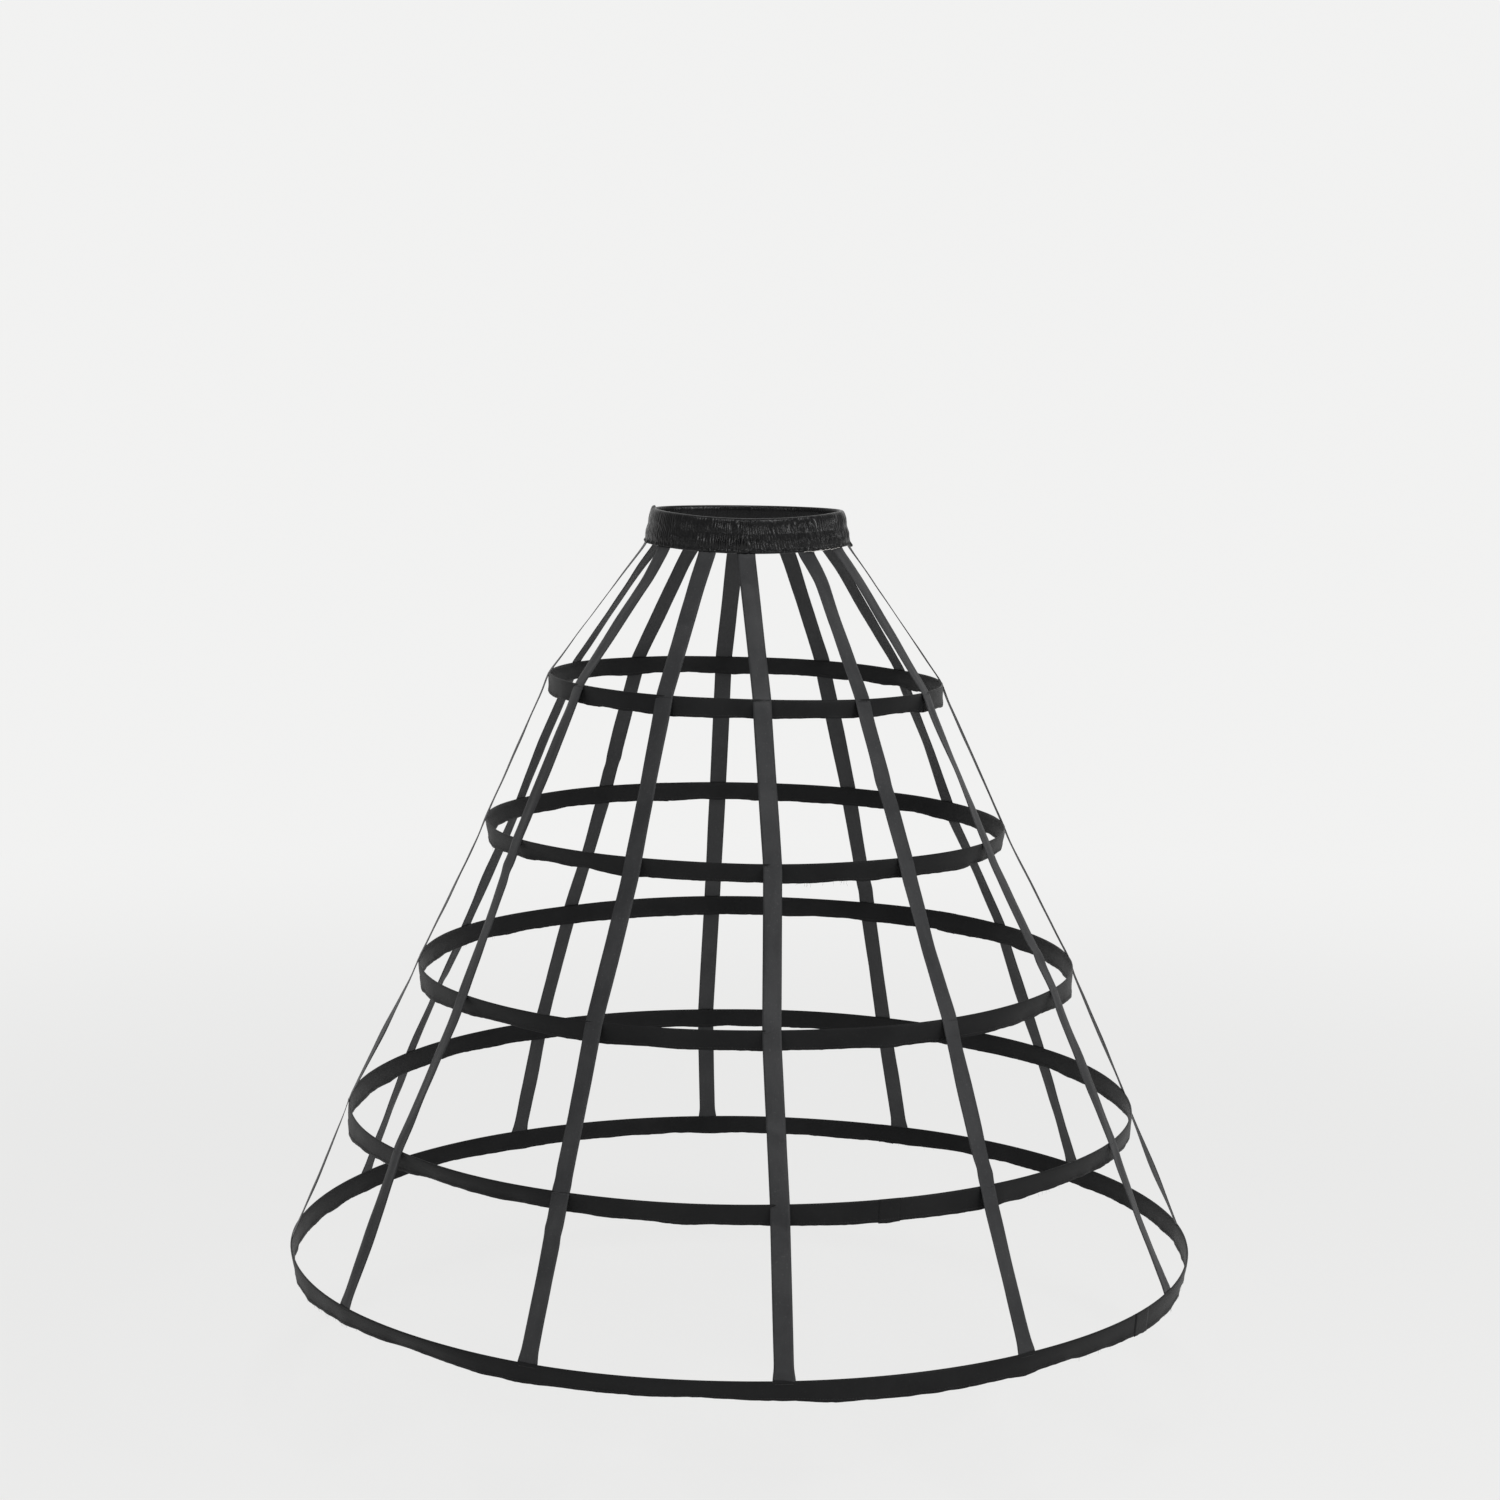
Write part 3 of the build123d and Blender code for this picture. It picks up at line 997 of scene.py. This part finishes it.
class CAGE_OT_seams(bpy.types.Operator):
    """Sews the casings, the tapes and the band with rows of stitches"""

    bl_idname = "cage.seams"
    bl_label = "Seams"

    def execute(self, context):
        hoops = context.scene.cage_hoops
        colours = context.scene.cage_colours
        dark = thread_finish("Dark thread", colours.thread, 0.5)
        pale = thread_finish("Pale thread", colours.pale_thread, 0.6)
        for number in HOOPS:
            radius = hoop_outlines[number][0]
            count = round(tau * radius / (hoops.stitch * 1.5))
            for side, out in (("outer", -0.0004), ("inner", -0.0016)):
                seam = Ring()
                thread_ring(seam, radius, out, -0.0192, count, hoops.stitch, hoops.thread)
                seam.put(lambda turn, out, up: on_casing(number, turn, out, up))
                finished(f"casing_seam_{number}_{side}", seam.shape, dark)
        self.sew_band(context, dark, pale)
        self.sew_tapes(context, dark)
        self.fray_edges(dark)
        return {"FINISHED"}

    @staticmethod
    def sew_band(context, dark, pale):
        """Sews the two rows round the band, and leaves the pale tacking at its lower right."""
        band = context.scene.cage_band
        thread = context.scene.cage_hoops.thread
        for row, height, out in (("upper", 0.0022, -0.0014), ("lower", -0.0158, -0.0012)):
            seam = Ring()
            thread_ring(seam, band_high.x, out, height, band.gathers, 0.0019, thread)
            seam.put(lambda turn, out, up: on_band(turn, -out - 0.5 * gathered(turn, up), up))
            finished(f"band_seam_{row}", seam.shape, dark)
        shape = bmesh.new()
        for index, degrees in enumerate(TACKS):
            height = -0.0212 + 0.0004 * sin(index * 2.1)
            turn = radians(degrees)
            here = on_band(turn, -0.0009, height)
            ahead = on_band(turn + 0.012, -0.0009, height + 0.0002 * cos(index * 1.7)) - here
            length = 0.0046 + 0.0010 * sin(index * 3.3)
            lay_thread(shape, here, along(ahead), length, 0.00035, 0.0003, sides=6)
        finished("band_tacking", shape, pale)

    @staticmethod
    def sew_tapes(context, dark):
        """Sews each tape across the top of every hoop it passes."""
        sizes = context.scene.cage_tapes
        hoops = context.scene.cage_hoops
        thick = hoops.thread * 0.6
        shape = bmesh.new()
        for number in TAPES:
            for hoop in HOOPS:
                out, down = (sizes.stand_off + 0.0001, 0.0020) if hoop < 5 else (0.0002, 0.0032)
                for step in range(-3, 4):
                    turn = tape_turn(number, hoop) + step * 0.0030 / hoop_outlines[hoop][0]
                    here = on_casing(hoop, turn, out, -down)
                    ahead = along(at_turn(turn + pi / 2, 1.0, 0.0))
                    lay_thread(shape, here, ahead, hoops.stitch * 1.25, thick, thick)
        finished("tape_stitches", shape, dark)

    @staticmethod
    def fray_edges(dark):
        """Leaves short loose threads at the worn lower edges of the casings."""
        shape = bmesh.new()
        for hoop, degrees, spread, count in FRAYS:
            for index in range(count):
                seed = Vector((hoop * 3.7 + index * 1.9, degrees * 0.13, 6.0))
                aside, length, bend = (
                    noise.noise(seed + Vector((0, 0, step))) for step in range(3)
                )
                turn = radians(degrees + spread * (2 * (index + 0.5) / count - 1 + aside))
                here = on_casing(hoop, turn, -0.0008, -0.0216)
                reach = 0.0016 + 0.0030 * abs(length)
                ahead = at_turn(turn + pi / 2, 2.2 * bend, -1.0).normalized()
                for part in range(2):
                    thin = 0.00003 * part
                    lay_thread(
                        shape, here + ahead * reach / 2, along(ahead), reach * 1.04,
                        0.00011 - thin, 0.00008 - thin, sides=4,
                    )
                    here = here + ahead * reach
                    ahead = (ahead + at_turn(turn + pi / 2, 1.6 * aside, 0.5 * bend)).normalized()
        finished("frayed_threads", shape, dark)


class CAGE_OT_bones(bpy.types.Operator):
    """Bends the steel bones to the hoops' sway, and crimps their sleeves on"""

    bl_idname = "cage.bones"
    bl_label = "Bones"

    def execute(self, context):
        casing_lie.cache_clear()
        colour = context.scene.cage_colours.steel
        spring = steel_finish("Spring steel", colour, 0.28)
        crimped = steel_finish("Crimped sleeve steel", colour, 0.4)
        for name, node, steel, box, joint in (
            ("steel_bones", "hoop_bones", spring, BONE_BOX, False),
            ("crimped_sleeves", "bone_sleeves", crimped, SLEEVE_BOX, True),
        ):
            outer, inner, top, foot = box
            corners = in_metres([(outer, foot), (outer, top), (inner, top), (inner, foot)])
            whole = bmesh.new()
            for number in HOOPS:
                radius = hoop_outlines[number][0]
                half = (HALF_SLEEVE if joint else HALF_GAP) / radius
                bone = Ring()
                bone.spin(
                    corners, radius, steps=6 if joint else 72, cuts=0 if joint else 2,
                    start=radians(BONE_JOINT_TURN) + (-half if joint else half),
                    angle=2 * half if joint else tau - 2 * half, closed=True,
                )
                bone.put(lambda turn, out, up: on_casing(number, turn, out, up))
                part = bpy.data.meshes.new(name)
                bone.shape.to_mesh(part)
                bone.shape.free()
                whole.from_mesh(part)
                bpy.data.meshes.remove(part)
            finished(name, whole, steel, [node])
        return {"FINISHED"}


class CAGE_OT_stage(bpy.types.Operator):
    """Sets the floor, the lamps, the world and the camera"""

    bl_idname = "cage.stage"
    bl_label = "Stage"

    def execute(self, context):
        sizes = context.scene.cage_stage
        self.lay_floor(context, sizes)
        self.hang_lamps(context)
        self.light_world(context)
        camera = bpy.data.cameras.new("Camera")
        camera.lens = sizes.lens
        camera.sensor_width = 36.0
        camera.clip_end = 100.0
        stand = bpy.data.objects.new("Camera", camera)
        stand.location = sizes.camera_place
        level = Euler((pi / 2 - sizes.camera_tilt, 0, 0)).to_matrix()
        turned = Euler((0, 0, sizes.camera_roll)).to_matrix()
        stand.rotation_euler = (level @ turned).to_euler()
        context.scene.collection.objects.link(stand)
        context.scene.camera = stand
        context.scene.view_settings.view_transform = "Standard"
        return {"FINISHED"}

    @staticmethod
    def lay_floor(context, sizes):
        """A pale floor that fades into the backdrop with distance."""
        material, tree, floor = empty_material("Pale floor")
        colour = context.scene.cage_colours.floor
        feed(tree, floor, {
            "Base Color": (*colour, 1.0), "Roughness": 0.9, "Specular IOR Level": 0.1,
        })
        place = node_in(tree, "ShaderNodeTexCoord", (-900, -200))
        distance = node_in(
            tree, "ShaderNodeVectorMath", (-700, -200), {0: place.outputs["Object"]},
            operation="LENGTH",
        )
        fade = node_in(
            tree, "ShaderNodeMapRange", (-500, -200),
            {
                "Value": distance.outputs["Value"], "From Min": 1.5, "From Max": 4.5,
                "To Min": 0.80,
            },
            interpolation_type="SMOOTHSTEP",
        )
        glow = node_in(
            tree, "ShaderNodeEmission", (-300, -300), {"Color": BACKDROP, "Strength": 1.0}
        )
        share = arithmetic(tree, "MULTIPLY", (-300, 100), backdrop_rays(tree)[1], fade.outputs[0])
        blend_surfaces(tree, share, floor, glow, "Material Output")
        shape = bmesh.new()
        bmesh.ops.create_grid(shape, x_segments=1, y_segments=1, size=14.0)
        bmesh.ops.translate(shape, verts=shape.verts, vec=(0, 0, sizes.floor_height))
        mesh = bpy.data.meshes.new("floor")
        shape.to_mesh(mesh)
        shape.free()
        mesh.materials.append(material)
        piece = bpy.data.objects.new("floor", mesh)
        context.scene.collection.objects.link(piece)

    @staticmethod
    def hang_lamps(context):
        """A wide soft lamp above the viewer, and two at the height of the waist."""
        for name, place, aim, size, power in (
            ("Overhead", (0.3, -2.0, 2.8), (0, 0, -0.3), 1.2, 44.0),
            ("Right window", (2.5, -2.2, 0.7), (0, 0, -0.4), 0.7, 28.0),
            ("Left window", (-1.4, -3.0, 0.6), (0, 0, -0.3), 0.6, 8.0),
        ):
            lamp = bpy.data.lights.new(name, "AREA")
            lamp.shape = "SQUARE"
            lamp.size = size
            lamp.energy = power
            holder = bpy.data.objects.new(name, lamp)
            holder.location = place
            towards = Vector(aim) - Vector(place)
            holder.rotation_euler = towards.to_track_quat("-Z", "Y").to_euler()
            context.scene.collection.objects.link(holder)

    @staticmethod
    def light_world(context):
        """A soft even light. The backdrop is pale, and what mirrors it also mirrors a dimmer
        side towards the viewer."""
        world = bpy.data.worlds.new("Soft light")
        world.use_nodes = True
        context.scene.world = world
        tree = world.node_tree
        even = tree.nodes["Background"]
        feed(tree, even, {"Color": (1.0, 1.0, 1.0, 1.0), "Strength": 0.44})
        straight, seen = backdrop_rays(tree)
        direction = node_in(tree, "ShaderNodeTexCoord", (-1000, -200)).outputs["Generated"]
        split = node_in(tree, "ShaderNodeSeparateXYZ", (-800, -200), {0: direction})
        facing = node_in(
            tree, "ShaderNodeMapRange", (-600, -200),
            {"Value": split.outputs["Y"], "From Min": -0.2, "From Max": 0.7, "To Min": 0.34},
        )
        strength = arithmetic(tree, "MAXIMUM", (-400, -200), straight, facing.outputs[0])
        backdrop = node_in(
            tree, "ShaderNodeBackground", (-200, -200), {"Color": BACKDROP, "Strength": strength}
        )
        blend_surfaces(tree, seen, even, backdrop, "World Output")


OPERATORS = (
    CAGE_OT_stage, CAGE_OT_waistband, CAGE_OT_elastic, CAGE_OT_bones, CAGE_OT_hoops,
    CAGE_OT_tapes, CAGE_OT_seams,
)


class CAGE_PT_sidebar(bpy.types.Panel):
    """Lists the pieces and their sizes in the sidebar"""

    bl_idname = "CAGE_PT_sidebar"
    bl_label = "Crinoline cage"
    bl_space_type = "VIEW_3D"
    bl_region_type = "UI"
    bl_category = SIDEBAR

    def draw(self, context):
        for group in GROUPS:
            box = self.layout.box()
            values = getattr(context.scene, group)
            for name in GROUPS[group].__annotations__:
                box.prop(values, name)
        for operator in OPERATORS:
            self.layout.operator(operator.bl_idname)


GROUPS = {
    "cage_colours": CageColours,
    "cage_band": BandSizes,
    "cage_hoops": HoopSizes,
    "cage_tapes": TapeSizes,
    "cage_stage": StageSizes,
}


def register():
    for group in GROUPS.values():
        bpy.utils.register_class(group)
    for name, group in GROUPS.items():
        setattr(bpy.types.Scene, name, PointerProperty(type=group))
    for operator in OPERATORS:
        bpy.utils.register_class(operator)
    bpy.utils.register_class(CAGE_PT_sidebar)


def unregister():
    bpy.utils.unregister_class(CAGE_PT_sidebar)
    for operator in reversed(OPERATORS):
        bpy.utils.unregister_class(operator)
    for name in GROUPS:
        delattr(bpy.types.Scene, name)
    for group in reversed(GROUPS.values()):
        bpy.utils.unregister_class(group)


def main():
    register()
    bpy.ops.cage.stage()
    bpy.ops.cage.waistband()
    bpy.ops.cage.elastic()
    bpy.ops.cage.bones()
    bpy.ops.cage.hoops()
    bpy.ops.cage.tapes()
    bpy.ops.cage.seams()


if __name__ == "__main__":
    main()
